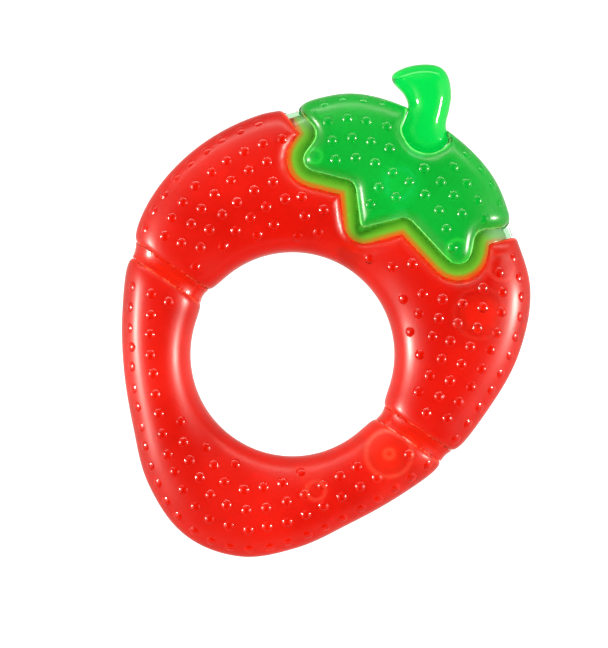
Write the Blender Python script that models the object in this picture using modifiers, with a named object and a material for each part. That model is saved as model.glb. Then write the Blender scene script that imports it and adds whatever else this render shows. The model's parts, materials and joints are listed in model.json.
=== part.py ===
"""A strawberry-shaped, water-filled teething ring, modelled lying on its back.

A ring with a round grip hole is closed by weld seams into three chambers: the upper berry, the lower
berry and the leaf. Each chamber is a front shell and a back shell around its own liquid, and has a
fill plug in its back shell. Clear webs join the chambers, and a solid stem is set into the leaf.

Units are metres. +Z is up, away from the back face; +Y runs along the berry towards the stem.
"""
from math import atan2, cos, degrees, exp, pi, radians, sin, sqrt, tan

import bmesh
import bpy
from mathutils import Matrix, Vector

# Ring: the hole's centre is the centre of every section
HOLE_CENTRE = Vector((0.0001, -0.01156))
HOLE_RADIUS = 0.021
# Outer edge around the hole's centre: angle from +X in degrees, radius
OUTER_EDGE = (
    (0, 0.0394), (14, 0.0420), (30, 0.0468), (45, 0.0509), (58, 0.0522), (70, 0.0551),
    (80, 0.0560), (95, 0.0561), (106, 0.0553), (114, 0.0530), (120, 0.0507), (127, 0.0499),
    (144, 0.0470), (162, 0.0434), (180, 0.0390), (196, 0.0361), (215, 0.0349), (234, 0.0361),
    (252, 0.0401), (269, 0.0434), (285, 0.0431), (300, 0.0401), (318, 0.0369), (338, 0.0367),
)

# Thickness: the shells meet at SPLIT_Z, and the front is higher over the wide end
SPLIT_Z = 0.0090
FRONT_RISE_LOW = 0.0088
FRONT_RISE_HIGH = 0.0103
FRONT_SQUARENESS_LOW = 2.25
FRONT_SQUARENESS_HIGH = 2.9
BACK_CORNER = 0.0055
WALL = 0.0016
GAP = 0.0003

# Pinch seams across the two narrow necks, on one line through the hole
NECK_TILT = radians(-4.0)
NECK_PINCH = 0.0008
NECK_PINCH_REACH = 0.0026
NECK_HALF = 0.0013
NECK_WEB_INSET = 0.0009

# Leaf seam: corners of its centre line (x, y from the hole's centre, corner radius); the last four
# lie outside the ring and only close the outline
LEAF_SEAM = (
    (-0.0193, 0.0410, 0.0012), (-0.0207, 0.0314, 0.0042), (-0.0069, 0.0352, 0.0008),
    (-0.0007, 0.0267, 0.0027), (0.0070, 0.0343, 0.0008), (0.0262, 0.0283, 0.0045),
    (0.0222, 0.0400, 0.0010), (0.0340, 0.0500, 0.0010), (0.0340, 0.0750, 0.0010),
    (-0.0310, 0.0750, 0.0010), (-0.0310, 0.0458, 0.0010),
)
SEAM_HALF = 0.0015
SEAM_WEB_INSET = 0.0020
SEAM_WEB_Z = (0.0062, 0.0118)
SHOULDER_WIDTH = 0.0017
SHOULDER_FRONT_Z = 0.0135
SHOULDER_FRONT_HEIGHT = 0.0062
SHOULDER_BACK_HEIGHT = 0.0030
PRISM_LOW_Z = -0.002
PRISM_HIGH_Z = 0.023
STRAIGHT_WALL = ((PRISM_LOW_Z, 0.0), (PRISM_HIGH_Z, 0.0))

# Stem: outline of the hooked stalk and of its root, which fills a round notch in the leaf
STEM_OUTLINE = (
    (0.0068, 0.0536), (0.0044, 0.0566), (0.0033, 0.0600), (0.0021, 0.0629), (-0.0002, 0.0657),
    (-0.0027, 0.0666), (-0.0056, 0.0656), (-0.0086, 0.0633), (-0.0104, 0.0606), (-0.0096, 0.0590),
    (-0.0064, 0.0579), (-0.0045, 0.0563), (-0.0041, 0.0542), (-0.0033, 0.0508), (0.0004, 0.0486),
    (0.0046, 0.0496),
)
STEM_THICKNESS = 0.0110
STEM_EDGE_RADIUS = 0.0028
NOTCH_CENTRE = (0.0013, 0.0539)
NOTCH_RADIUS = 0.0062

# Fill plugs: chamber, centre from the hole's centre, radius of the boss around the bore
PLUGS = {
    "upper": ((0.0292, 0.0262), 0.0050),
    "lower": ((0.0272, -0.0084), 0.0044),
    "leaf": ((0.0020, 0.0415), 0.0044),
}
BOSS_Z = (0.00015, 0.0032)
BORE_RIM = 0.0014
BORE_STEP = 0.0008
BORE_STEP_Z = 0.0021
PLUG_SINK = 0.0003
PLUG_TIP_Z = 0.0045
PLUG_DIMPLE_RADIUS = 0.0009
PLUG_DIMPLE_DEPTH = 0.0006
PLUG_CHAMFER = 0.0003

# Facets
RING_STEP = 6
NECK_STEPS = (-7.5, -4.5, -2.0, 2.0, 4.5, 7.5)
FRONT_STEPS = 10
BACK_STEPS = 4
INNER_FRONT_STEPS = 8
INNER_BACK_STEPS = 3
CORNER_STEPS = 3
SHOULDER_STEPS = 3
ROUND_SEGMENTS = 20

RED = (0.86, 0.035, 0.012, 1.0)
RED_LIQUID = (0.75, 0.015, 0.004, 1.0)
GREEN = (0.01, 0.48, 0.09, 1.0)
GREEN_LIQUID = (0.006, 0.33, 0.05, 1.0)
STEM_GREEN = (0.01, 0.72, 0.16, 1.0)
CLEAR = (0.62, 0.66, 0.58, 1.0)
GLOSSY = 0.18
SATIN = 0.35


# ---------------------------------------------------------------- scene and materials

def clear_scene():
    for item in list(bpy.data.objects):
        bpy.data.objects.remove(item, do_unlink=True)


def new_collection(name):
    collection = bpy.data.collections.new(name)
    bpy.context.scene.collection.children.link(collection)
    return collection


def plastic(name, colour, roughness):
    material = bpy.data.materials.new(name)
    material.use_nodes = True
    shader = material.node_tree.nodes["Principled BSDF"]
    shader.inputs["Base Color"].default_value = colour
    shader.inputs["Roughness"].default_value = roughness
    shader.inputs["Metallic"].default_value = 0.0
    material.diffuse_color = colour
    return material


def place(name, mesh, collection, material=None):
    item = bpy.data.objects.new(name, mesh)
    collection.objects.link(item)
    if material:
        mesh.materials.append(material)
        mesh.shade_smooth()
        mesh.set_sharp_from_angle(angle=radians(35))
    else:
        item.hide_render = True
        item.display_type = 'WIRE'
    return item


def boolean(item, operation, cutter):
    """A shell's rim and its cavity meet in slivers that only the MANIFOLD solver keeps closed."""
    modifier = item.modifiers.new(f"{operation.lower()} {cutter.name}", 'BOOLEAN')
    modifier.operation = operation
    modifier.solver = 'MANIFOLD' if item.name.endswith("shell") else 'EXACT'
    modifier.object = cutter


# ---------------------------------------------------------------- the ring's sections

def outer_radius(angle):
    """Radius of the outer edge at an angle in degrees: a smooth curve through OUTER_EDGE."""
    count = len(OUTER_EDGE)
    turned = angle % 360
    index = max(i for i in range(count) if OUTER_EDGE[i][0] <= turned)

    def knot(i):
        at, radius = OUTER_EDGE[i % count]
        return at + 360 * (i // count), radius

    (a0, r0), (a1, r1), (a2, r2), (a3, r3) = (knot(index + k) for k in (-1, 0, 1, 2))
    slope_1 = (r2 - r0) / (a2 - a0)
    slope_2 = (r3 - r1) / (a3 - a1)
    t = (turned - a1) / (a2 - a1)
    blend = t * t * (3 - 2 * t)
    bend_1 = t * (1 - t) ** 2
    bend_2 = t * t * (t - 1)
    return r1 + (r2 - r1) * blend + (a2 - a1) * (slope_1 * bend_1 + slope_2 * bend_2)


def neck_pinch(angle):
    """How far the ring is drawn in at the neck seams."""
    from_seam = radians((angle - degrees(NECK_TILT) + 90) % 180 - 90)
    arc = from_seam * (HOLE_RADIUS + outer_radius(angle)) / 2
    return NECK_PINCH * exp(-(arc / NECK_PINCH_REACH) ** 2)


def power(value, exponent):
    return abs(value) ** exponent * (1 if value >= 0 else -1)


def front_arc(half, rise, squareness, steps):
    """Points (across, z) over the front, from the outer side to the inner side."""
    turns = (pi * k / steps for k in range(steps + 1))
    return [
        (half * power(cos(u), 2 / squareness), SPLIT_Z + rise * power(max(sin(u), 0.0), 2 / squareness))
        for u in turns
    ]


def back_arc(half, drop, corner, steps):
    """Points (across, z) under the back, from the inner side to the outer side, flat in the middle."""
    quarter = [pi / 2 * k / steps for k in range(steps + 1)]
    inner = [(corner - half - corner * cos(v), SPLIT_Z - drop * sin(v)) for v in quarter]
    outer = [(half - corner + corner * sin(v), SPLIT_Z - drop * cos(v)) for v in quarter]
    return inner + outer


def section(angle, inset, side):
    """Closed outline (radius, z) of the ring's section at an angle, drawn in by inset."""
    draw_in = inset + neck_pinch(angle)
    edge = outer_radius(angle)
    middle = (edge + HOLE_RADIUS) / 2
    half = (edge - HOLE_RADIUS) / 2 - draw_in
    wide = (1 + sin(radians(angle))) / 2
    rise = FRONT_RISE_LOW + (FRONT_RISE_HIGH - FRONT_RISE_LOW) * wide - draw_in
    squareness = FRONT_SQUARENESS_LOW + (FRONT_SQUARENESS_HIGH - FRONT_SQUARENESS_LOW) * wide
    inner = side == 'BOTH'
    front = front_arc(half, rise, squareness, INNER_FRONT_STEPS if inner else FRONT_STEPS)
    back = back_arc(half, SPLIT_Z - inset, BACK_CORNER - inset,
                    INNER_BACK_STEPS if inner else BACK_STEPS)
    if side == 'FRONT':
        points = [(across, max(z, SPLIT_Z + GAP / 2)) for across, z in front]
    elif side == 'BACK':
        points = [(across, min(z, SPLIT_Z - GAP / 2)) for across, z in back]
    else:
        points = front + back[1:-1]
    return [(middle + across, z) for across, z in points]


def ring_angles():
    """Angles of the sections: even steps, with closer ones around each neck seam."""
    necks = [(degrees(NECK_TILT) + side) % 360 for side in (0, 180)]
    even = [
        angle for angle in range(0, 360, RING_STEP)
        if all(abs((angle - neck + 180) % 360 - 180) > NECK_STEPS[-1] + RING_STEP / 3 for neck in necks)
    ]
    close = [(neck + step) % 360 for neck in necks for step in NECK_STEPS]
    return sorted(even + close)


def ring_mesh(name, inset, side):
    """The ring as a loft through its sections, closed on itself."""
    bm = bmesh.new()
    loops = []
    for angle in ring_angles():
        direction = Vector((cos(radians(angle)), sin(radians(angle))))
        loops.append([
            bm.verts.new((*(HOLE_CENTRE + direction * radius), z))
            for radius, z in section(angle, inset, side)
        ])
    for index, loop in enumerate(loops):
        following = loops[(index + 1) % len(loops)]
        for k in range(len(loop)):
            nxt = (k + 1) % len(loop)
            bm.faces.new((loop[k], following[k], following[nxt], loop[nxt]))
    return finished(name, bm)


def finished(name, bm):
    bmesh.ops.recalc_face_normals(bm, faces=bm.faces)
    mesh = bpy.data.meshes.new(name)
    bm.to_mesh(mesh)
    bm.free()
    return mesh


# ---------------------------------------------------------------- regions that cut the ring

def rounded_outline(corners, offset):
    """The outline through corners, moved outwards by offset, with an arc at each corner."""
    count = len(corners)
    points = [Vector(corner[:2]) for corner in corners]
    edges = [(points[(i + 1) % count] - points[i]).normalized() for i in range(count)]
    outline = []
    for i, corner in enumerate(corners):
        before = edges[i - 1]
        after = edges[i]
        turn = atan2(before.cross(after), before.dot(after))
        bisector = (before + after).normalized()
        outwards = Vector((bisector.y, -bisector.x))
        vertex = points[i] + outwards * offset / cos(turn / 2)
        radius = max(corner[2] + (offset if turn > 0 else -offset), 0.0003)
        reach = radius * tan(abs(turn) / 2)
        centre = vertex - before * reach - Vector((before.y, -before.x)) * radius * (1 if turn > 0 else -1)
        spoke = vertex - before * reach - centre
        for k in range(CORNER_STEPS + 1):
            outline.append(centre + Matrix.Rotation(turn * k / CORNER_STEPS, 2) @ spoke)
    return outline


def shoulder_layers(widen):
    """(z, extra offset) up a seam wall, whose edges round off towards the front and the back."""
    turns = [pi / 2 * k / SHOULDER_STEPS for k in range(SHOULDER_STEPS + 1)]
    edge = SHOULDER_WIDTH if widen else -SHOULDER_WIDTH
    front = [(SHOULDER_FRONT_Z + SHOULDER_FRONT_HEIGHT * sin(v), edge * (1 - cos(v))) for v in turns]
    back = [(SHOULDER_BACK_HEIGHT * (1 - sin(v)), edge * (1 - cos(v))) for v in reversed(turns)]
    return [(PRISM_LOW_Z, edge)] + back + front + [(PRISM_HIGH_Z, edge)]


def leaf_prism(name, offset, layers):
    """A prism over the leaf's seam outline; each layer moves its wall by an extra offset."""
    bm = bmesh.new()
    loops = [
        [bm.verts.new((*(HOLE_CENTRE + point), z)) for point in rounded_outline(LEAF_SEAM, offset + extra)]
        for z, extra in layers
    ]
    for lower, upper in zip(loops, loops[1:]):
        for k in range(len(lower)):
            nxt = (k + 1) % len(lower)
            bm.faces.new((lower[k], lower[nxt], upper[nxt], upper[k]))
    bm.faces.new(loops[0])
    bm.faces.new(loops[-1])
    return place(name, finished(name, bm), cutters)


def neck_block(name, low, high):
    """A block across the whole ring, from low to high along the berry, square to the neck seams."""
    bm = bmesh.new()
    bmesh.ops.create_cube(bm, size=1)
    depth = PRISM_HIGH_Z - PRISM_LOW_Z
    centre = Vector((0, (low + high) / 2, (PRISM_HIGH_Z + PRISM_LOW_Z) / 2))
    bm.transform(Matrix.Translation(HOLE_CENTRE.to_3d()) @ Matrix.Rotation(NECK_TILT, 4, 'Z')
                 @ Matrix.Translation(centre) @ Matrix.Diagonal((0.12, high - low, depth, 1)))
    return place(name, finished(name, bm), cutters)


def side_block(name, side):
    """A block over the ring's left (-1) or right (1) half."""
    bm = bmesh.new()
    bmesh.ops.create_cube(bm, size=0.12)
    bm.transform(Matrix.Translation((HOLE_CENTRE.x + side * 0.06, HOLE_CENTRE.y, 0)))
    return place(name, finished(name, bm), cutters)


def slab(name, low, high):
    """A flat block between two heights."""
    bm = bmesh.new()
    bmesh.ops.create_cube(bm, size=1)
    bm.transform(Matrix.Translation((0, 0, (low + high) / 2)) @ Matrix.Diagonal((0.2, 0.2, high - low, 1)))
    return place(name, finished(name, bm), cutters)


def post(name, centre, radius, low, high):
    """An upright cylinder; its centre is measured from the hole's centre."""
    bm = bmesh.new()
    bmesh.ops.create_cone(bm, cap_ends=True, segments=ROUND_SEGMENTS, radius1=radius, radius2=radius,
                          depth=high - low)
    bm.transform(Matrix.Translation((*(HOLE_CENTRE + Vector(centre)), (low + high) / 2)))
    return place(name, finished(name, bm), cutters)


# ---------------------------------------------------------------- chambers

def limit_to_chamber(item, chamber, inset):
    """Cut a ring solid down to one chamber, whose seam walls are drawn in by inset."""
    name = f"{item.name}_limit"
    layers = STRAIGHT_WALL if inset else shoulder_layers(chamber == 'upper')
    if chamber == 'leaf':
        boolean(item, 'INTERSECT', leaf_prism(name, -SEAM_HALF - inset, layers))
        boolean(item, 'DIFFERENCE',
                post(f"{name}_notch", NOTCH_CENTRE, NOTCH_RADIUS + inset, PRISM_LOW_Z, PRISM_HIGH_Z))
    elif chamber == 'upper':
        boolean(item, 'INTERSECT', neck_block(f"{name}_neck", NECK_HALF + inset, 0.08))
        boolean(item, 'DIFFERENCE', leaf_prism(name, SEAM_HALF + inset, layers))
    else:
        boolean(item, 'INTERSECT', neck_block(f"{name}_neck", -0.08, -NECK_HALF - inset))


def fill_boss(shell, chamber):
    """A round boss with a stepped bore in the back shell, for the fill plug."""
    centre, radius = PLUGS[chamber]
    bore = radius - BORE_RIM
    name = f"{chamber}_boss"
    boolean(shell, 'UNION', post(name, centre, radius, *BOSS_Z))
    boolean(shell, 'DIFFERENCE', post(f"{name}_bore", centre, bore, PRISM_LOW_Z, BORE_STEP_Z))
    boolean(shell, 'DIFFERENCE', post(f"{name}_throat", centre, bore - BORE_STEP, PRISM_LOW_Z, 0.006))


def make_chamber(chamber, shell_material, liquid_material):
    cavity = place(f"{chamber}_cavity", ring_mesh(f"{chamber}_cavity", WALL, 'BOTH'), cutters)
    limit_to_chamber(cavity, chamber, WALL)
    for side in ('FRONT', 'BACK'):
        name = f"{chamber}_{side.lower()}_shell"
        shell = place(name, ring_mesh(name, 0.0, side), parts, shell_material)
        limit_to_chamber(shell, chamber, 0.0)
        boolean(shell, 'DIFFERENCE', cavity)
        if side == 'BACK':
            fill_boss(shell, chamber)
    name = f"{chamber}_liquid"
    liquid = place(name, ring_mesh(name, WALL + GAP, 'BOTH'), parts, liquid_material)
    limit_to_chamber(liquid, chamber, WALL + GAP)
    centre, radius = PLUGS[chamber]
    boolean(liquid, 'DIFFERENCE',
            post(f"{name}_pocket", centre, radius + GAP, PRISM_LOW_Z, PLUG_TIP_Z + GAP))


def make_plug(chamber, material):
    """A turned fill plug: a head with a dimple, and a thinner tip through the boss."""
    centre, boss_radius = PLUGS[chamber]
    head = boss_radius - BORE_RIM - GAP
    tip = head - BORE_STEP
    step_z = BORE_STEP_Z - GAP
    profile = (
        (0.0, PLUG_TIP_Z), (tip - PLUG_CHAMFER, PLUG_TIP_Z), (tip, PLUG_TIP_Z - PLUG_CHAMFER),
        (tip, step_z), (head, step_z), (head, PLUG_SINK + PLUG_CHAMFER),
        (head - PLUG_CHAMFER, PLUG_SINK), (PLUG_DIMPLE_RADIUS, PLUG_SINK),
        (PLUG_DIMPLE_RADIUS * 0.6, PLUG_SINK + PLUG_DIMPLE_DEPTH), (0.0, PLUG_SINK + PLUG_DIMPLE_DEPTH),
    )
    name = f"{chamber}_fill_plug"
    mesh = bpy.data.meshes.new(name)
    mesh.from_pydata([(radius, 0, z) for radius, z in profile],
                     [(k, k + 1) for k in range(len(profile) - 1)], [])
    plug = place(name, mesh, parts, material)
    plug.location = (*(HOLE_CENTRE + Vector(centre)), 0)
    turn = plug.modifiers.new("turn", 'SCREW')
    turn.axis = 'Z'
    turn.steps = ROUND_SEGMENTS
    turn.render_steps = ROUND_SEGMENTS
    turn.use_merge_vertices = True
    turn.merge_threshold = 0.00002


# ---------------------------------------------------------------- webs and stem

def make_neck_web(side, sign, material):
    name = f"{side}_neck_web"
    web = place(name, ring_mesh(name, NECK_WEB_INSET, 'BOTH'), parts, material)
    half = NECK_HALF - GAP
    boolean(web, 'INTERSECT', neck_block(f"{name}_slice", -half, half))
    boolean(web, 'INTERSECT', side_block(f"{name}_side", sign))


def make_leaf_web(material):
    name = "leaf_seam_web"
    web = place(name, ring_mesh(name, SEAM_WEB_INSET, 'BOTH'), parts, material)
    half = SEAM_HALF - GAP
    boolean(web, 'INTERSECT', leaf_prism(f"{name}_outside", half, STRAIGHT_WALL))
    boolean(web, 'DIFFERENCE', leaf_prism(f"{name}_inside", -half, STRAIGHT_WALL))
    boolean(web, 'INTERSECT', slab(f"{name}_slab", *SEAM_WEB_Z))


def make_stem(material):
    """The stalk and its root: a flat outline, extruded, with rounded edges."""
    curve = bpy.data.curves.new("stem_outline", 'CURVE')
    curve.dimensions = '2D'
    curve.fill_mode = 'BOTH'
    curve.resolution_u = 2
    curve.extrude = STEM_THICKNESS / 2 - STEM_EDGE_RADIUS
    curve.bevel_depth = STEM_EDGE_RADIUS
    curve.offset = -STEM_EDGE_RADIUS
    curve.bevel_resolution = 2
    spline = curve.splines.new('BEZIER')
    spline.bezier_points.add(len(STEM_OUTLINE) - 1)
    spline.use_cyclic_u = True
    for point, (x, y) in zip(spline.bezier_points, STEM_OUTLINE):
        point.co = (x, y, 0)
        point.handle_left_type = 'AUTO'
        point.handle_right_type = 'AUTO'
    outline = bpy.data.objects.new("stem_outline", curve)
    cutters.objects.link(outline)
    bpy.context.view_layer.update()
    mesh = bpy.data.meshes.new_from_object(outline.evaluated_get(bpy.context.evaluated_depsgraph_get()))
    bpy.data.objects.remove(outline)
    bm = bmesh.new()
    bm.from_mesh(mesh)
    bmesh.ops.remove_doubles(bm, verts=bm.verts, dist=0.00002)
    stem = place("stem", finished("stem", bm), parts, material)
    stem.location = (*HOLE_CENTRE, SPLIT_Z)


clear_scene()
parts = new_collection("teething_ring")
cutters = new_collection("cutters")

red_shell = plastic("red_shell", RED, GLOSSY)
red_liquid = plastic("red_liquid", RED_LIQUID, GLOSSY)
green_shell = plastic("green_shell", GREEN, GLOSSY)
green_liquid = plastic("green_liquid", GREEN_LIQUID, GLOSSY)
clear_web = plastic("clear_web", CLEAR, GLOSSY)
make_chamber("upper", red_shell, red_liquid)
make_chamber("lower", red_shell, red_liquid)
make_chamber("leaf", green_shell, green_liquid)
make_plug("upper", plastic("red_plug", RED, SATIN))
make_plug("lower", bpy.data.materials["red_plug"])
make_plug("leaf", plastic("green_plug", GREEN, SATIN))
make_neck_web("left", -1, clear_web)
make_neck_web("right", 1, clear_web)
make_leaf_web(clear_web)
make_stem(plastic("stem_green", STEM_GREEN, SATIN))
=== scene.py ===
"""A strawberry-shaped water-filled teething ring: clear tinted skins, coloured liquid, nubs and weld seams.

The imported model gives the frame. Each shell, liquid, web and the stem is rebuilt here as a fine smooth
surface inside the space of its CAD node: a field that is negative inside the piece is sampled on a grid,
its zero surface is drawn as quads, and the points are then moved exactly onto it. Units are metres.
"""
import json
from math import cos, pi, radians, sin

import bmesh
import bpy
import numpy as np
from mathutils import Matrix, Vector


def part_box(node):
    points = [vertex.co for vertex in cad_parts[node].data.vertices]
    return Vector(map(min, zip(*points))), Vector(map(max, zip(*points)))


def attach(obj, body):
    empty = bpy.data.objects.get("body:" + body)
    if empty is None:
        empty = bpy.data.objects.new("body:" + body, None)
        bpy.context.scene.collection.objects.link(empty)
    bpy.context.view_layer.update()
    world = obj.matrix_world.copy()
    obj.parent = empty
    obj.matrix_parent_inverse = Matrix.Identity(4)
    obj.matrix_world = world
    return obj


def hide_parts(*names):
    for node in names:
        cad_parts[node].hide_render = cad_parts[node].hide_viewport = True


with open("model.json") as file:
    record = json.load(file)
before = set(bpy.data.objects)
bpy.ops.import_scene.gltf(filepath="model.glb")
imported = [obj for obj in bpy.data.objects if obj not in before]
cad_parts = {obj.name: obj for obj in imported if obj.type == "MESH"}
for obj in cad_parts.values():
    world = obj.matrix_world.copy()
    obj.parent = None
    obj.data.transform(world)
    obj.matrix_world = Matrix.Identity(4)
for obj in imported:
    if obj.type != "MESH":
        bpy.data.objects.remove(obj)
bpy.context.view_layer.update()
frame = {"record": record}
ROOT = "root"

# ---------------------------------------------------------------- the CAD design's dimensions

grip_box = np.array(frame["record"]["physics"]["openings"][0]["box_m"])
HOLE_CENTRE = grip_box.mean(axis=0)[:2]
HOLE_RADIUS = 0.021
OUTER_EDGE = np.array((
    (0, 0.0394), (14, 0.0420), (30, 0.0468), (45, 0.0509), (58, 0.0522), (70, 0.0551),
    (80, 0.0560), (95, 0.0561), (106, 0.0553), (114, 0.0530), (120, 0.0507), (127, 0.0499),
    (144, 0.0470), (162, 0.0434), (180, 0.0390), (196, 0.0361), (215, 0.0349), (234, 0.0361),
    (252, 0.0401), (269, 0.0434), (285, 0.0431), (300, 0.0401), (318, 0.0369), (338, 0.0367),
))
SPLIT_Z = 0.0090
FRONT_RISE = (0.0088, 0.0103)
FRONT_SQUARENESS = (2.25, 2.9)
BACK_CORNER = 0.0055
WALL = 0.0016
GAP = 0.0003
NECK_TILT = radians(-4.0)
NECK_PINCH = 0.0008
NECK_PINCH_REACH = 0.0026
NECK_HALF = 0.0013
LEAF_SEAM = (
    (-0.0193, 0.0410, 0.0012), (-0.0207, 0.0314, 0.0042), (-0.0069, 0.0352, 0.0008),
    (-0.0007, 0.0267, 0.0027), (0.0070, 0.0343, 0.0008), (0.0262, 0.0283, 0.0045),
    (0.0222, 0.0400, 0.0010), (0.0340, 0.0500, 0.0010), (0.0340, 0.0750, 0.0010),
    (-0.0310, 0.0750, 0.0010), (-0.0310, 0.0458, 0.0010),
)
SEAM_HALF = 0.0015
SEAM_WELD_Z = 0.0062
STEM_OUTLINE = (
    (0.0068, 0.0536), (0.0044, 0.0566), (0.0033, 0.0600), (0.0021, 0.0629), (-0.0002, 0.0657),
    (-0.0027, 0.0666), (-0.0056, 0.0656), (-0.0086, 0.0633), (-0.0104, 0.0606), (-0.0096, 0.0590),
    (-0.0064, 0.0579), (-0.0045, 0.0563), (-0.0041, 0.0542), (-0.0033, 0.0508), (0.0004, 0.0486),
    (0.0046, 0.0496),
)
STEM_THICKNESS = 0.0110
PLUGS = {
    "upper": ((0.0292, 0.0262), 0.0050),
    "lower": ((0.0272, -0.0084), 0.0044),
    "leaf": ((0.0020, 0.0415), 0.0044),
}
BOSS_TOP = 0.0032
BORE_RIM = 0.0014
BORE_STEP = 0.0008
BORE_STEP_Z = 0.0021
PLUG_SINK = 0.0003
PLUG_TIP_Z = 0.0045
PLUG_DIMPLE_RADIUS = 0.0009
PLUG_DIMPLE_DEPTH = 0.0006

# ---------------------------------------------------------------- finer shapes, for the looks only

# Grid steps of the surfaces, and how far above the split plane a front is looked for
SKIN_STEP = 0.00045
INNER_STEP = 0.0009
SMALL_STEP = 0.00030
SEARCH_HEIGHT = 0.013

# How round each seam's shoulders are, and how the pieces overlap at their welds
LEAF_SHOULDER = 0.0034
NECK_SHOULDER = 0.0015
STEM_SHOULDER = 0.0030
TIGHT = 0.0003
SIDE_SHOULDER = {"upper": 0.0008, "leaf": 0.0032}
INNER_SOFTNESS = 0.6
NECK_WELD_INSET = 0.0002
NECK_WELD_MARGIN = 0.0002
WELD_OVERLAP = 0.00030
WEB_END_REACH = 0.0001
STEM_WELD_INSET = 0.0004
STEM_SOFT_EDGE = 0.0042
STEM_WELD_SHARE = 0.45
SEAM_WELD_INSET = (0.0006, 0.0020)
PALE_REACH = 0.0012
SEAM_WALL_SHARE = 0.6
ON_WALL = 0.0004
NEAR_NECK = 0.0005
NEAR_STEM = 0.0007
SEAM_GLOW = 0.0022
SEAM_CLOSES = (0.0440, 0.0515)
SEAM_END_HALF = 0.0010

# Nubs: their size, the spacing of their rows, and how far they keep from edges and seams
NUB_RADIUS = 0.00108
NUB_HEIGHT = 0.00052
NUB_ROOT = 0.0005
NUB_PITCH = 0.00410
NUB_FIRST_ROW = {"upper": 0.0019, "lower": 0.0019, "leaf": 0.0012}
NUB_ROW_START = 0.0010
NUB_ROWS_REACH = 0.036
NUB_FROM_SEAM = 0.0023
NUB_FROM_HOLE = 0.0030
NUB_FROM_HOLE_LEFT = 0.0072
NUB_LEFT_SIDE = (194, 236)
NUB_SPREAD = 0.00012
NUB_OFF_SKIN = 0.00004
PLUG_CLEAR = 0.0036

# Faces steeper than this (their normal's z) count as upright, and edges sharper than this stay sharp
UPRIGHT_SKIN = 0.45
UPRIGHT_WEB = 0.5
SHARP_ANGLE = 40

# Air bubbles in the liquids: x, y from the hole's centre, radius
BUBBLES = {
    "upper": ((0.0285, 0.0365, 0.0023),),
    "lower": ((0.0179, -0.0218, 0.0016),),
    "leaf": ((0.0190, 0.0350, 0.0023), (-0.0160, 0.0375, 0.0012)),
}

# Tint across the leaf's weld, by distance from its centre line, leaf side first: dark olive, a painted
# highlight line of lighter green, then olive-yellow, orange and red
SEAM_TINT_AT = (-0.0015, -0.0006, 0.0003, 0.0006, 0.0009, 0.0015)
SEAM_COLOURS_AND_HIGHLIGHT = (
    (0.050, 0.32, 0.014), (0.095, 0.36, 0.014), (0.17, 0.50, 0.03), (0.32, 0.33, 0.02),
    (0.60, 0.19, 0.012), (0.88, 0.08, 0.008),
)
SEAM_END_TINT = (0.19, 0.48, 0.21)
SEAM_ENDS_AT = (0.0455, 0.0495)

# Painted highlight rings in the skins, round the bubbles and plugs that lie behind: x, y, radius and how
# strong
HIGHLIGHT_RINGS = {
    "upper": ((0.0285, 0.0365, 0.0026, 0.8), (0.0292, 0.0262, 0.0052, 0.35)),
    "lower": (
        (0.0272, -0.0079, 0.0047, 0.9), (0.0272, -0.0079, 0.0009, 0.9), (0.0179, -0.0218, 0.0019, 0.8),
    ),
    "leaf": ((0.0190, 0.0350, 0.0023, 1.0), (-0.0160, 0.0375, 0.0014, 0.9)),
}
HIGHLIGHT_RING_WIDTH = 0.00035

rng = np.random.default_rng(7)


def smooth_steps(points, steps):
    """A closed smooth curve through points, as steps points per span."""
    p = np.asarray(points, float)
    before, after, beyond = np.roll(p, 1, 0), np.roll(p, -1, 0), np.roll(p, -2, 0)
    spans = []
    for t in np.arange(steps) / steps:
        spans.append(0.5 * (2 * p + (after - before) * t + (2 * before - 5 * p + 4 * after - beyond) * t**2
                            + (3 * p - before - 3 * after + beyond) * t**3))
    return np.stack(spans, 1).reshape(-1, 2)


def outer_table():
    """Angles in radians and radii of the outer edge, on even fine steps round the hole."""
    knots = OUTER_EDGE
    turns = np.vstack([knots[-2:] - (360, 0), knots, knots[:3] + (360, 0)])
    at, radius = turns.T
    slope = np.zeros(len(at))
    slope[1:-1] = (radius[2:] - radius[:-2]) / (at[2:] - at[:-2])
    fine = np.arange(0, 360, 0.5)
    i = np.searchsorted(at, fine, side='right') - 1
    width = at[i + 1] - at[i]
    t = (fine - at[i]) / width
    value = (radius[i] + (radius[i + 1] - radius[i]) * t * t * (3 - 2 * t)
             + width * (slope[i] * t * (1 - t)**2 + slope[i + 1] * t * t * (t - 1)))
    return np.radians(fine), value


EDGE_ANGLES, EDGE_RADII = outer_table()


def outer_radius(angle):
    return np.interp(angle, EDGE_ANGLES, EDGE_RADII, period=2 * pi)


def rounded_outline(corners, steps=6):
    """An outline through corners of (x, y, rounding), closed, with an arc at each corner."""
    count = len(corners)
    points = [Vector(corner[:2]) for corner in corners]
    edges = [(points[(i + 1) % count] - points[i]).normalized() for i in range(count)]
    outline = []
    for i, corner in enumerate(corners):
        before = edges[i - 1]
        after = edges[i]
        turn = np.arctan2(before.cross(after), before.dot(after))
        side = 1 if turn > 0 else -1
        start = points[i] - before * corner[2] * np.tan(abs(turn) / 2)
        centre = start - Vector((before.y, -before.x)) * corner[2] * side
        arc = [Matrix.Rotation(turn * k / steps, 2) @ (start - centre) for k in range(steps + 1)]
        outline += [centre + spoke for spoke in arc]
    return np.array(outline)


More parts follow.
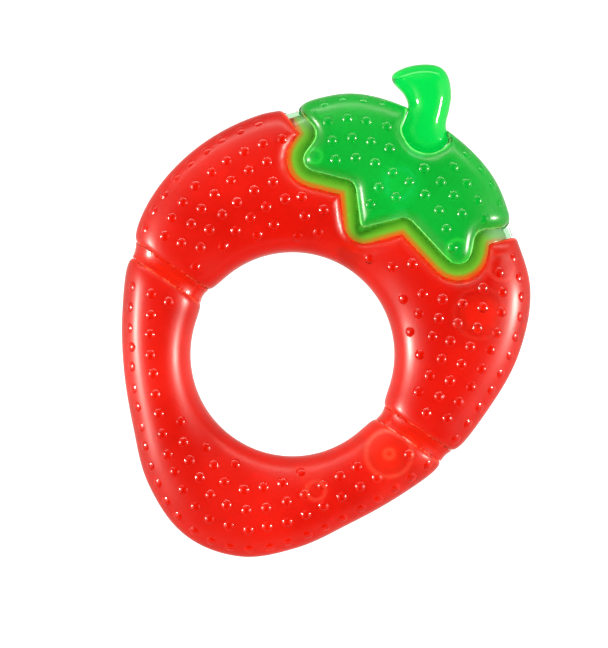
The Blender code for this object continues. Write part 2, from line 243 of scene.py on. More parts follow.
def polygon_distance(points, outline):
    """Distance from points (n, 2) to a closed outline, negative inside it."""
    best = np.full(len(points), np.inf)
    inside = np.zeros(len(points), bool)
    x, y = points.T
    for (ax, ay), (bx, by) in zip(outline, np.roll(outline, -1, 0)):
        ex, ey = bx - ax, by - ay
        t = np.clip(((x - ax) * ex + (y - ay) * ey) / (ex * ex + ey * ey), 0, 1)
        best = np.minimum(best, (x - ax - t * ex)**2 + (y - ay - t * ey)**2)
        if ay != by:
            crosses = (ay > y) != (by > y)
            inside ^= crosses & (x < ax + (y - ay) * ex / ey)
    distance = np.sqrt(best)
    return np.where(inside, -distance, distance)


LEAF_OUTLINE = rounded_outline(LEAF_SEAM)
STEM_CURVE = smooth_steps(STEM_OUTLINE, 8)

# ---------------------------------------------------------------- fields: negative inside


def local(p):
    """Points' coordinates from the hole's centre, in plan."""
    return p[:, :2] - HOLE_CENTRE


def smooth_max(a, b, width):
    """The larger of two fields, rounded where they meet."""
    h = np.maximum(width - np.abs(a - b), 0) / width
    return np.maximum(a, b) + h * h * width / 4


def along_berry(q):
    """Distance from the line of the neck seams, towards the leaf."""
    return q[:, 1] * cos(NECK_TILT) - q[:, 0] * sin(NECK_TILT)


def ring_field(p, inset):
    """The whole ring, drawn in by inset, before any seam."""
    q = local(p)
    angle = np.arctan2(q[:, 1], q[:, 0])
    r = np.hypot(q[:, 0], q[:, 1])
    edge = outer_radius(angle)
    pinch = NECK_PINCH * np.exp(-(along_berry(q) / NECK_PINCH_REACH)**2)
    draw_in = inset + pinch
    across = np.abs(r - (edge + HOLE_RADIUS) / 2)
    half = (edge - HOLE_RADIUS) / 2 - draw_in
    wide = (1 + np.sin(angle)) / 2
    rise = FRONT_RISE[0] + (FRONT_RISE[1] - FRONT_RISE[0]) * wide - draw_in
    square = FRONT_SQUARENESS[0] + (FRONT_SQUARENESS[1] - FRONT_SQUARENESS[0]) * wide
    up = p[:, 2] - SPLIT_Z
    front = ((across / half)**square + (np.maximum(up, 0) / rise)**square)**(1 / square)
    corner = BACK_CORNER - inset
    back = np.hypot(np.maximum(across - half + corner, 0) / corner, np.minimum(up, 0) / (SPLIT_Z - inset))
    return np.where(up >= 0, (front - 1) * np.minimum(half, rise), (back - 1) * corner)


def seam_half(q):
    """Half the leaf seam's width, which closes up where it runs out to the ring's edge."""
    out = np.clip((np.hypot(q[:, 0], q[:, 1]) - SEAM_CLOSES[0]) / (SEAM_CLOSES[1] - SEAM_CLOSES[0]), 0, 1)
    return SEAM_HALF + (SEAM_END_HALF - SEAM_HALF) * out * out * (3 - 2 * out)


def seams(p, chamber, inset):
    """The walls that close a chamber off from its neighbours, as (field, roundness of its shoulder).

    Every seam is tight at the back; the leaf's opens into a wide soft valley over the front.
    """
    q = local(p)
    neck = along_berry(q)
    height = np.clip((p[:, 2] - SPLIT_Z) / FRONT_RISE[0], 0, 1)
    to_middle = np.clip(p[:, 2] / SPLIT_Z, 0, 1)
    neck_shoulder = TIGHT + (NECK_SHOULDER - TIGHT) * to_middle
    if chamber == "lower":
        return [(neck + NECK_HALF + inset, neck_shoulder)]
    side = TIGHT + (SIDE_SHOULDER[chamber] - TIGHT) * to_middle
    leaf_shoulder = side + (LEAF_SHOULDER - side) * height**2
    stem_shoulder = TIGHT + (STEM_SHOULDER - TIGHT) * height**2
    leaf = polygon_distance(q, LEAF_OUTLINE)
    if chamber == "upper":
        return [(NECK_HALF + inset - neck, neck_shoulder), (seam_half(q) + inset - leaf, leaf_shoulder)]
    notch = inset - WELD_OVERLAP - polygon_distance(q, STEM_CURVE)
    return [(leaf + seam_half(q) + inset, leaf_shoulder), (notch, stem_shoulder)]


def seam_field(p, chamber, inset):
    return np.max([seam for seam, _ in seams(p, chamber, inset)], axis=0)


def seam_weld_inset(p):
    """How far the leaf's weld stays inside the ring: least at the sides, most over the front."""
    height = np.clip((p[:, 2] - SPLIT_Z) / FRONT_RISE[0], 0, 1)
    return SEAM_WELD_INSET[0] + (SEAM_WELD_INSET[1] - SEAM_WELD_INSET[0]) * np.sqrt(height)


def chamber_field(p, chamber, inset, softness=1.0):
    value = ring_field(p, inset)
    for seam, rounding in seams(p, chamber, inset * SEAM_WALL_SHARE):
        value = smooth_max(value, seam, rounding * softness)
    return value


def post_field(p, centre, radius, top):
    q = local(p) - centre
    return np.maximum(np.hypot(q[:, 0], q[:, 1]) - radius, p[:, 2] - top)


# ---------------------------------------------------------------- surfaces from fields

CORNERS = np.array([(i, j, k) for i in (0, 1) for j in (0, 1) for k in (0, 1)])
EDGES = [(a, b) for a in range(8) for b in range(a + 1, 8) if np.abs(CORNERS[a] - CORNERS[b]).sum() == 1]


def surface(field, low, high, step, settle=3):
    """The zero surface of a field in a box, as (points, quads) with the quads facing out."""
    axes = [np.arange(lo - 2 * step, hi + 3 * step, step) for lo, hi in zip(low, high)]
    shape = tuple(len(axis) for axis in axes)
    grid = np.stack(np.meshgrid(*axes, indexing='ij'), -1).reshape(-1, 3)
    value = np.concatenate([field(part) for part in np.array_split(grid, max(1, len(grid) // 400_000))])
    value = value.reshape(shape)
    inside = value < 0
    cell_shape = tuple(n - 1 for n in shape)

    def shifted(array, offset):
        return array[tuple(slice(o, o + n) for o, n in zip(offset, cell_shape))]

    corner_inside = [shifted(inside, c) for c in CORNERS]
    mixed = np.any(corner_inside, axis=0) & ~np.all(corner_inside, axis=0)
    cells = np.argwhere(mixed)
    number = np.full(cell_shape, -1)
    number[mixed] = np.arange(len(cells))
    corner_value = np.stack([shifted(value, c)[mixed] for c in CORNERS], 1)
    total = np.zeros((len(cells), 3))
    hits = np.zeros(len(cells))
    for a, b in EDGES:
        va, vb = corner_value[:, a], corner_value[:, b]
        cut = (va < 0) != (vb < 0)
        t = np.where(cut, va / np.where(cut, va - vb, 1), 0)
        total += np.where(cut[:, None], CORNERS[a] + t[:, None] * (CORNERS[b] - CORNERS[a]), 0)
        hits += cut
    origin = np.array([axis[0] for axis in axes])
    points = origin + (cells + total / hits[:, None]) * step

    quads = []
    for axis in range(3):
        u, v = (axis + 1) % 3, (axis + 2) % 3
        first = np.take(inside, range(shape[axis] - 1), axis)
        second = np.take(inside, range(1, shape[axis]), axis)
        crossing = np.argwhere(first != second)
        crossing = crossing[(crossing[:, u] > 0) & (crossing[:, v] > 0)]
        crossing = crossing[(crossing[:, u] < shape[u] - 1) & (crossing[:, v] < shape[v] - 1)]
        around = []
        for du, dv in ((-1, -1), (0, -1), (0, 0), (-1, 0)):
            cell = crossing.copy()
            cell[:, u] += du
            cell[:, v] += dv
            around.append(number[tuple(cell.T)])
        quad = np.stack(around, 1)
        leaving = inside[tuple(crossing.T)]
        quad[~leaving] = quad[~leaving][:, ::-1]
        quads.append(quad)
    for _ in range(settle):
        points = settled(field, points, step)
    return points, np.concatenate(quads)


def settled(field, points, step):
    """Points moved along the field's slope onto its zero surface."""
    slope = field_slope(field, points, step * 0.2)
    length = np.maximum((slope**2).sum(1), 0.05)
    move = -(field(points) / length)[:, None] * slope
    far = np.linalg.norm(move, axis=1, keepdims=True)
    return points + move * np.minimum(1, step * 0.5 / np.maximum(far, 1e-9))


def mesh_from(name, *solids):
    """One mesh of several (points, faces); later ones are cavities if their faces are reversed."""
    points = np.concatenate([solid[0] for solid in solids])
    starts = np.cumsum([0] + [len(solid[0]) for solid in solids[:-1]])
    faces = np.concatenate([solid[1] + start for solid, start in zip(solids, starts)])
    mesh = bpy.data.meshes.new(name)
    mesh.vertices.add(len(points))
    mesh.vertices.foreach_set("co", points.astype(np.float32).ravel())
    mesh.loops.add(faces.size)
    mesh.loops.foreach_set("vertex_index", faces.astype(np.int32).ravel())
    mesh.polygons.add(len(faces))
    mesh.polygons.foreach_set("loop_start", np.arange(len(faces), dtype=np.int32) * faces.shape[1])
    mesh.update(calc_edges=True)
    return mesh


def reversed_faces(solid):
    return solid[0], solid[1][:, ::-1]


def mesh_values(items, name, width=1):
    """One property of all a mesh's vertices or faces."""
    values = np.empty(len(items) * width, np.int32 if name == "material_index" else float)
    items.foreach_get(name, values)
    return values.reshape(-1, width) if width > 1 else values


def paint(mesh, colours):
    """Give each point of a mesh its own tint."""
    tint = mesh.color_attributes.new("tint", 'FLOAT_COLOR', 'POINT')
    tint.data.foreach_set("color", np.column_stack([colours, np.ones(len(colours))]).ravel())


def add_piece(name, mesh, node):
    """A finished piece that stands for a CAD node."""
    piece = bpy.data.objects.new(name, mesh)
    bpy.context.scene.collection.objects.link(piece)
    mesh.shade_smooth()
    mesh.set_sharp_from_angle(angle=radians(SHARP_ANGLE))
    shiny = np.array([material.name not in SEEN_THROUGH for material in mesh.materials])
    mesh.polygons.foreach_set("use_smooth", shiny[mesh_values(mesh.polygons, "material_index")])
    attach(piece, ROOT)
    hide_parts(node)


# ---------------------------------------------------------------- nubs


def nub_rows(first):
    """Nub places in plan along rows that follow the outer edge, pitch apart, from the outside in."""
    angles = np.radians(np.arange(0, 360, 0.25))
    edge = outer_radius(angles)
    line = np.stack([np.cos(angles), np.sin(angles)], 1) * edge[:, None]
    tangent = np.roll(line, -1, 0) - np.roll(line, 1, 0)
    tangent /= np.linalg.norm(tangent, axis=1, keepdims=True)
    inwards = np.stack([-tangent[:, 1], tangent[:, 0]], 1)
    places = []
    row = 0
    while first + row * NUB_PITCH < NUB_ROWS_REACH:
        path = line + inwards * (first + row * NUB_PITCH)
        run = np.concatenate([[0], np.cumsum(np.linalg.norm(np.diff(path, axis=0), axis=1))])
        at = np.arange(NUB_ROW_START + (row % 2) * NUB_PITCH / 2, run[-1], NUB_PITCH)
        places.append(np.stack([np.interp(at, run, path[:, k]) for k in (0, 1)], 1))
        row += 1
    return np.concatenate(places)


def thinned(places, apart):
    """Places in order, leaving out any that comes too close to one already kept."""
    kept = []
    for place in places:
        if all((place[0] - k[0])**2 + (place[1] - k[1])**2 > apart**2 for k in kept):
            kept.append(place)
    return np.array(kept)


def nub_places(chamber):
    """Where a chamber's nubs stand on its front; the ring's left side has none near the hole."""
    places = nub_rows(NUB_FIRST_ROW[chamber])
    r = np.hypot(*places.T)
    angle = np.degrees(np.arctan2(places[:, 1], places[:, 0])) % 360
    left_side = (angle > NUB_LEFT_SIDE[0]) & (angle < NUB_LEFT_SIDE[1])
    flat = np.column_stack([places + HOLE_CENTRE, np.full(len(places), SPLIT_Z)])
    clear = seam_field(flat, chamber, 0.0) < -NUB_FROM_SEAM
    if chamber == "lower":
        clear &= np.hypot(*(places - PLUGS["lower"][0]).T) > PLUG_CLEAR
    if chamber != "leaf":
        clear &= r > HOLE_RADIUS + np.where(left_side, NUB_FROM_HOLE_LEFT, NUB_FROM_HOLE)
    places = thinned(places[clear], NUB_PITCH * 0.82)
    places += rng.normal(0, NUB_SPREAD, places.shape)
    return on_front(places, chamber)


def on_front(places, chamber):
    """Places in plan lifted onto the chamber's front surface."""
    low = np.full(len(places), SPLIT_Z)
    high = np.full(len(places), SPLIT_Z + SEARCH_HEIGHT)
    for _ in range(30):
        middle = (low + high) / 2
        p = np.column_stack([places + HOLE_CENTRE, middle])
        inside = chamber_field(p, chamber, 0.0) < 0
        low = np.where(inside, middle, low)
        high = np.where(inside, high, middle)
    return np.column_stack([places + HOLE_CENTRE, low])


def field_slope(field, points, reach=0.0002):
    return np.stack([
        (field(points + offset) - field(points - offset)) / (2 * reach) for offset in np.eye(3) * reach
    ], 1)


def nub_domes(places, outwards, heights, segments=20, rings=5):
    """Small caps of spheres with roots that reach into the skin, as (points, triangles)."""
    turns = np.arange(segments) * 2 * pi / segments
    circle = np.stack([np.cos(turns), np.sin(turns)], 1)
    each = np.arange(segments)
    after = (each + 1) % segments
    bands = []
    for ring in range(rings):
        a = 1 + ring * segments
        b = a + segments
        bands += [np.stack([a + each, b + each, b + after], 1), np.stack([a + each, b + after, a + after], 1)]
    last = 1 + rings * segments
    foot = np.full(segments, last + segments)
    faces = np.concatenate([
        np.stack([np.zeros(segments, int), 1 + each, 1 + after], 1), *bands,
        np.stack([last + each, foot, last + after], 1),
    ])
    points = []
    for place, up, height in zip(places, outwards, heights):
        ball = (NUB_RADIUS**2 + height**2) / (2 * height)
        steep = np.arcsin(NUB_RADIUS / ball)
        side = np.cross(up, (0.0, 1.0, 0.0))
        side /= np.linalg.norm(side)
        frame_axes = np.array([side, np.cross(up, side), up])
        levels = [steep * (k + 1) / rings for k in range(rings)]
        shape = [np.array([[0, 0, height]])]
        for level in levels:
            lift = np.full((segments, 1), ball * cos(level) - ball + height)
            shape.append(np.hstack([circle * ball * sin(level), lift]))
        shape.append(np.hstack([circle * NUB_RADIUS * 0.9, np.full((segments, 1), -NUB_ROOT)]))
        shape.append(np.array([[0, 0, -NUB_ROOT]]))
        points.append(np.concatenate(shape) @ frame_axes + place)
    size = len(points[0])
    faces = np.concatenate([faces + size * k for k in range(len(points))])
    return np.concatenate(points), faces


# ---------------------------------------------------------------- materials


SEEN_THROUGH = set()


def new_material(name):
    material = bpy.data.materials.new(name)
    material.use_nodes = True
    return material, material.node_tree.nodes, material.node_tree.links


def add_surface_detail(nodes, links, shader, rough, depth):
    """Uneven gloss and a faint waviness, as on a moulded soft skin."""
    place = nodes.new("ShaderNodeTexCoord")
    noise = nodes.new("ShaderNodeTexNoise")
    noise.inputs["Scale"].default_value = 55
    noise.inputs["Detail"].default_value = 3
    links.new(place.outputs["Object"], noise.inputs["Vector"])
    spread = nodes.new("ShaderNodeMapRange")
    spread.inputs["To Min"].default_value = rough * 0.6
    spread.inputs["To Max"].default_value = rough * 1.5
    links.new(noise.outputs["Fac"], spread.inputs["Value"])
    links.new(spread.outputs["Result"], shader.inputs["Roughness"])
    bump = nodes.new("ShaderNodeBump")
    bump.inputs["Strength"].default_value = 0.25
    bump.inputs["Distance"].default_value = depth
    links.new(noise.outputs["Fac"], bump.inputs["Height"])
    links.new(bump.outputs["Normal"], shader.inputs["Normal"])
    return noise


def clear_plastic(name, colour, deep_colour, ior=1.43, rough=0.10, clear=1.0, shine=0.5, depth=0.0002):
    """Clear tinted EVA: glassy and slightly milky, with slow changes of tint and gloss."""
    material, nodes, links = new_material(name)
    shader = nodes["Principled BSDF"]
    shader.inputs["Transmission Weight"].default_value = clear
    shader.inputs["IOR"].default_value = ior
    shader.inputs["Specular IOR Level"].default_value = shine
    noise = add_surface_detail(nodes, links, shader, rough, depth)
    tint = nodes.new("ShaderNodeValToRGB")
    tint.color_ramp.elements[0].position = 0.38
    tint.color_ramp.elements[0].color = (*deep_colour, 1)
    tint.color_ramp.elements[1].position = 0.62
    tint.color_ramp.elements[1].color = (*colour, 1)
    links.new(noise.outputs["Fac"], tint.inputs["Fac"])
    links.new(tint.outputs["Color"], shader.inputs["Base Color"])
    return material


def painted_plastic(name, colour, deep_colour, **finish):
    """Clear plastic whose tint is multiplied by the one painted on the mesh."""
    material = clear_plastic(name, colour, deep_colour, **finish)
    nodes, links = material.node_tree.nodes, material.node_tree.links
    painted = nodes.new("ShaderNodeAttribute")
    painted.attribute_name = "tint"
    product = nodes.new("ShaderNodeVectorMath")
    product.operation = 'MULTIPLY'
    links.new(nodes["Color Ramp"].outputs["Color"], product.inputs[0])
    links.new(painted.outputs["Color"], product.inputs[1])
    links.new(product.outputs["Vector"], nodes["Principled BSDF"].inputs["Base Color"])
    return material


def bonded(name, colour):
    """Faces welded to a neighbour or wetted by the liquid: light passes straight through them.

    They're shaded flat, since a smoothed wall seen edge on would stop the light.
    """
    SEEN_THROUGH.add(name)
    material, nodes, links = new_material(name)
    shader = nodes["Principled BSDF"]
    shader.inputs["Transmission Weight"].default_value = 1
    shader.inputs["IOR"].default_value = 1.0
    shader.inputs["Roughness"].default_value = 0
    shader.inputs["Base Color"].default_value = (*colour, 1)
    return material


def absorbing(material, colour, density):
    """Light fades along its way through the material, most in the colours that colour lacks."""
    nodes, links = material.node_tree.nodes, material.node_tree.links
    absorb = nodes.new("ShaderNodeVolumeAbsorption")
    absorb.inputs["Color"].default_value = (*colour, 1)
    absorb.inputs["Density"].default_value = density
    links.new(absorb.outputs["Volume"], nodes["Material Output"].inputs["Volume"])
    return material


RED_TINTS = (0.77, 0.013, 0.001), (0.59, 0.007, 0.001)
GREEN_TINTS = (0.0016, 0.60, 0.058), (0.0011, 0.47, 0.040)
RED_SKIN = painted_plastic("red_skin", *RED_TINTS, rough=0.33, clear=0.95, shine=0.38)
RED_NUB = painted_plastic("red_nub", *RED_TINTS, rough=0.15, clear=0.94, shine=1.0, depth=0.00005)
RED_EDGE = painted_plastic("red_edge", *RED_TINTS, rough=0.30, clear=0.45)
GREEN_SKIN = painted_plastic("green_skin", *GREEN_TINTS, rough=0.28, clear=0.94)
GREEN_NUB = painted_plastic("green_nub", *GREEN_TINTS, rough=0.15, clear=0.94, shine=1.0, depth=0.00005)
GREEN_EDGE = painted_plastic("green_edge", *GREEN_TINTS, rough=0.30, clear=0.45)
SEAM_SKIN = painted_plastic("seam_skin", (0.98, 0.98, 0.98), (0.86, 0.86, 0.86), rough=0.24)
NECK_SKIN = clear_plastic("neck_skin", (0.74, 0.012, 0.002), (0.66, 0.009, 0.001), rough=0.24, clear=0.94)
STEM_SKIN = absorbing(
    clear_plastic("stem_skin", (0.008, 0.67, 0.13), (0.005, 0.60, 0.10), ior=1.33, clear=0.85),
    (0.30, 0.970, 0.80), 400)
PLUG_SKIN = clear_plastic("plug_skin", (1.0, 0.24, 0.10), (0.95, 0.18, 0.08), ior=1.15)
LEAF_PLUG_SKIN = clear_plastic("leaf_plug_skin", (0.07, 0.76, 0.24), (0.06, 0.70, 0.21), ior=1.12)
BONDED = bonded("bonded", (1.0, 1.0, 1.0))
BOSS_EDGE = clear_plastic("boss_edge", (1, 0.78, 0.74), (1, 0.70, 0.64), ior=1.15, rough=0.0, clear=0.8)
BUBBLE = clear_plastic("bubble_wall", (1, 1, 1), (0.97, 0.97, 0.97), ior=1.05, rough=0.0)
RED_LIQUID = absorbing(bonded("red_liquid", (1, 1, 1)), (0.986, 0.86, 0.82), 400)
GREEN_LIQUID = absorbing(bonded("green_liquid", (1, 1, 1)), (0.635, 0.935, 0.880), 450)

# ---------------------------------------------------------------- chambers


def chamber_box(chamber, grow=0.001):
    """The box of a chamber's two CAD shells, a little larger."""
    corners = [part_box(f"{chamber}_{side}_shell") for side in ("front", "back")]
    low = np.min([np.array(pair[0]) for pair in corners], axis=0) - grow
    high = np.max([np.array(pair[1]) for pair in corners], axis=0) + grow
    return low, high


# The finishes of a shell's faces, by their place among its materials
SKIN_FACE, BONDED_FACE, BOSS_FACE, NUB_FACE, EDGE_FACE = range(5)


def split_half(name, mesh, front):
    """The half of a hollow chamber on one side of the weld plane, its rim closed flat."""
    bm = bmesh.new()
    bm.from_mesh(mesh)
    side = 1 if front else -1
    plane = SPLIT_Z + side * GAP / 2
    cut = bmesh.ops.bisect_plane(bm, geom=bm.verts[:] + bm.edges[:] + bm.faces[:], dist=1e-7,
                                 plane_co=(0, 0, plane), plane_no=(0, 0, -side), clear_outer=True)
    rim = [e for e in cut["geom_cut"] if isinstance(e, bmesh.types.BMEdge)]
    filled = bmesh.ops.triangle_fill(bm, edges=rim, use_beauty=True, normal=(0, 0, -side))
    for face in filled["geom"]:
        if isinstance(face, bmesh.types.BMFace):
            face.material_index = BONDED_FACE
    half = bpy.data.meshes.new(name)
    bm.to_mesh(half)
    bm.free()
    return half


def combined(mesh, other, operation):
    """A closed mesh with another one merged into it or cut from it."""
    item = bpy.data.objects.new("item", mesh)
    tool = bpy.data.objects.new("tool", other)
    for helper in (item, tool):
        bpy.context.scene.collection.objects.link(helper)
    change = item.modifiers.new("change", 'BOOLEAN')
    change.operation = operation
    change.solver = 'MANIFOLD'
    change.object = tool
    bpy.context.view_layer.update()
    result = bpy.data.meshes.new_from_object(item.evaluated_get(bpy.context.evaluated_depsgraph_get()))
    for helper in (item, tool):
        bpy.data.objects.remove(helper)
    return result


def touches_neighbour(p, chamber):
    """Where a chamber's seam walls are welded to a web or to the stem."""
    depth = -ring_field(p, 0.0)
    on_wall = np.abs(seam_field(p, chamber, 0.0)) < ON_WALL
    near_neck = np.abs(np.abs(along_berry(local(p))) - NECK_HALF) < NEAR_NECK
    near_stem = np.abs(polygon_distance(local(p), STEM_CURVE)) < NEAR_STEM
    in_stem = (np.abs(p[:, 2] - SPLIT_Z) < STEM_THICKNESS * STEM_WELD_SHARE) & (depth > STEM_WELD_INSET)
    in_neck_web = depth > NECK_WELD_INSET + NECK_WELD_MARGIN
    in_leaf_web = (p[:, 2] > SEAM_WELD_Z) & (depth > seam_weld_inset(p))
    at_web = np.where(near_neck, in_neck_web, in_leaf_web)
    return on_wall & np.where(near_stem, in_stem, at_web)


def bubble_solid(chamber, x, y, radius):
    """An air bubble that floats under the front of a chamber's liquid."""
    low, high = SPLIT_Z, SPLIT_Z + SEARCH_HEIGHT
    for _ in range(20):
        middle = (low + high) / 2
        spot = np.array([[HOLE_CENTRE[0] + x, HOLE_CENTRE[1] + y, middle]])
        if chamber_field(spot, chamber, WALL + 2 * GAP, INNER_SOFTNESS)[0] < 0:
            low = middle
        else:
            high = middle
    centre = np.array([HOLE_CENTRE[0] + x, HOLE_CENTRE[1] + y, low - 1.5 * radius])

    def ball(p):
        return np.linalg.norm(p - centre, axis=1) - radius

    return surface(ball, centre - radius, centre + radius, radius / 7)


def turned(name, corners, centre):
    """A closed mesh turned about an upright axis from corners of (radius, z, rounding)."""
    profile = rounded_outline(corners, 4)
    bm = bmesh.new()
    points = [bm.verts.new((max(radius, 0.0), 0, z)) for radius, z in profile]
    edges = [bm.edges.new(pair) for pair in zip(points, points[1:])]
    bmesh.ops.spin(bm, geom=points + edges, axis=(0, 0, 1), cent=(0, 0, 0), angle=2 * pi, steps=64,
                   use_merge=True)
    bmesh.ops.remove_doubles(bm, verts=bm.verts, dist=1e-6)
    bmesh.ops.recalc_face_normals(bm, faces=bm.faces)
    bm.transform(Matrix.Translation((HOLE_CENTRE[0] + centre[0], HOLE_CENTRE[1] + centre[1], 0)))
    mesh = bpy.data.meshes.new(name)
    bm.to_mesh(mesh)
    bm.free()
    return mesh


def bore_mesh(chamber):
    """The stepped bore through a chamber's filling boss."""
    centre, boss_radius = PLUGS[chamber]
    wide = boss_radius - BORE_RIM
    narrow = wide - BORE_STEP
    above = BOSS_TOP + 0.001
    corners = (
        (0.0, -0.001, 0.0), (wide, -0.001, 0.0), (wide, BORE_STEP_Z, 0.0), (narrow, BORE_STEP_Z, 0.0),
        (narrow, above, 0.0), (0.0, above, 0.0),
    )
    return turned(f"{chamber}_bore", corners, centre)


def skin_finish(mesh, chamber, front):
    """The finish of each face of a shell, which comes in told apart as outer skin or inside wall."""
    boss_centre, boss_radius = PLUGS[chamber]
    centres = mesh_values(mesh.polygons, "center", 3)
    finish = mesh_values(mesh.polygons, "material_index")
    finish[(finish == SKIN_FACE) & touches_neighbour(centres, chamber)] = BONDED_FACE
    by_boss = post_field(centres, boss_centre, boss_radius, BOSS_TOP) < GAP
    in_bore = post_field(centres, boss_centre, boss_radius - BORE_RIM + TIGHT, BOSS_TOP - TIGHT) < 0
    finish[((finish == BONDED_FACE) & by_boss) | (in_bore & (centres[:, 2] > TIGHT))] = BOSS_FACE
    if front:
        off_skin = chamber_field(centres, chamber, 0.0) > NUB_OFF_SKIN
        finish[(finish == SKIN_FACE) & off_skin] = NUB_FACE
    upright = np.abs(mesh_values(mesh.polygons, "normal", 3)[:, 2]) < UPRIGHT_SKIN
    at_seam = upright & (seam_field(centres, chamber, 0.0) > -PALE_REACH / 2)
    finish[(finish == SKIN_FACE) & at_seam] = EDGE_FACE
    return finish


def skin_tints(mesh, chamber, tints):
    """The tint at each point of a shell: by the leaf's seam, a painted highlight on steep walls by any seam,
    and painted highlight rings round what lies behind.
    """
    seam_tint, wall_highlight_tint, ring_highlight_tint = tints
    points = mesh_values(mesh.vertices, "co", 3)
    from_seam = np.abs(polygon_distance(local(points), LEAF_OUTLINE))
    near = np.interp(from_seam, (SEAM_HALF, SEAM_HALF + SEAM_GLOW), (1, 0))[:, None]
    colours = 1 - near + near * np.array(seam_tint)
    # Painted highlight: steep faces close to a seam are painted lighter, towards the wall highlight tint
    steep = 1 - np.abs(mesh_values(mesh.vertex_normals, "vector", 3)[:, 2])
    at_wall = np.interp(seam_field(points, chamber, 0.0), (-PALE_REACH, 0), (0, 1))
    pale = (at_wall * np.clip(steep * 2, 0, 1))[:, None]
    colours = colours * (1 - pale) + pale * np.array(wall_highlight_tint)
    # Painted highlight rings: lighter bands of colour round each bubble and plug behind the skin
    for x, y, radius, strength in HIGHLIGHT_RINGS[chamber]:
        away = np.hypot(*(local(points) - (x, y)).T)
        ring = strength * np.exp(-((away - radius) / HIGHLIGHT_RING_WIDTH)**2)[:, None]
        colours = colours * (1 - ring) + ring * np.array(ring_highlight_tint)
    return colours


def make_chamber(chamber, finishes, tints, liquid_material):
    """A chamber's nubbed front shell, its back shell with the filling bore, and its liquid."""
    low, high = chamber_box(chamber)
    boss_centre, boss_radius = PLUGS[chamber]

    def outside(p):
        return chamber_field(p, chamber, 0.0)

    def cavity(p):
        value = chamber_field(p, chamber, WALL, INNER_SOFTNESS)
        return np.maximum(value, -post_field(p, boss_centre, boss_radius, BOSS_TOP))

    def liquid_space(p):
        value = chamber_field(p, chamber, WALL + GAP, INNER_SOFTNESS)
        return np.maximum(value, -post_field(p, boss_centre, boss_radius + GAP, PLUG_TIP_Z + GAP))

    outer = surface(outside, low, high, SKIN_STEP)
    inner = surface(cavity, low, high, INNER_STEP)
    hollow = mesh_from(f"{chamber}_hollow", outer, reversed_faces(inner))
    inside_first = np.arange(len(hollow.polygons)) >= len(outer[1])
    hollow.polygons.foreach_set("material_index", np.where(inside_first, BONDED_FACE, SKIN_FACE))
    nubs = nub_places(chamber)
    slope = field_slope(outside, nubs)
    outwards = slope / np.linalg.norm(slope, axis=1, keepdims=True)
    heights = NUB_HEIGHT * rng.uniform(0.85, 1.1, len(nubs)) * outwards[:, 2]
    domes = mesh_from(f"{chamber}_nubs", nub_domes(nubs, outwards, heights))

    for side in ("front", "back"):
        name = f"{chamber}_{side}_shell"
        mesh = split_half(f"{name}_skin", hollow, side == "front")
        if side == "front":
            mesh = combined(mesh, domes, 'UNION')
        else:
            mesh = combined(mesh, bore_mesh(chamber), 'DIFFERENCE')
        finish = skin_finish(mesh, chamber, side == "front")
        mesh.materials.clear()
        for material in finishes:
            mesh.materials.append(material)
        mesh.polygons.foreach_set("material_index", finish)
        paint(mesh, skin_tints(mesh, chamber, tints))
        add_piece(f"{name}_skin", mesh, name)

    name = f"{chamber}_liquid"
    fill = surface(liquid_space, low, high, INNER_STEP)
    bubbles = [reversed_faces(bubble_solid(chamber, *bubble)) for bubble in BUBBLES[chamber]]
    mesh = mesh_from(f"{name}_fill", fill, *bubbles)
    mesh.materials.append(liquid_material)
    mesh.materials.append(BUBBLE)
    in_bubble = np.arange(len(mesh.polygons)) >= len(fill[1])
    mesh.polygons.foreach_set("material_index", in_bubble.astype(np.int32))
    add_piece(f"{name}_fill", mesh, name)


RED_FINISHES = (RED_SKIN, BONDED, BOSS_EDGE, RED_NUB, RED_EDGE)
LEAF_FINISHES = (GREEN_SKIN, BONDED, BONDED, GREEN_NUB, GREEN_EDGE)
# Painted tints: the leaf seam's colour, a painted highlight on steep seam walls, and painted highlight rings;
# parts above 1 take away some of the plastic's own colour
RED_WALL_HIGHLIGHT = (1.15, 4.0, 10.0)
GREEN_WALL_HIGHLIGHT = (160.0, 1.4, 4.0)
RED_RING_HIGHLIGHT = (1.3, 14.0, 90.0)
LEAF_RING_HIGHLIGHT = (70.0, 1.7, 2.0)
make_chamber("upper", RED_FINISHES, ((1.05, 3.0, 1.5), RED_WALL_HIGHLIGHT, RED_RING_HIGHLIGHT), RED_LIQUID)
make_chamber("lower", RED_FINISHES, ((1.0, 1.0, 1.0), RED_WALL_HIGHLIGHT, RED_RING_HIGHLIGHT), RED_LIQUID)
make_chamber("leaf", LEAF_FINISHES, ((55.0, 0.65, 0.25), GREEN_WALL_HIGHLIGHT, LEAF_RING_HIGHLIGHT), GREEN_LIQUID)

# ---------------------------------------------------------------- webs and stem


def node_box(node, grow=0.0006):
    low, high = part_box(node)
    return np.array(low) - grow, np.array(high) + grow


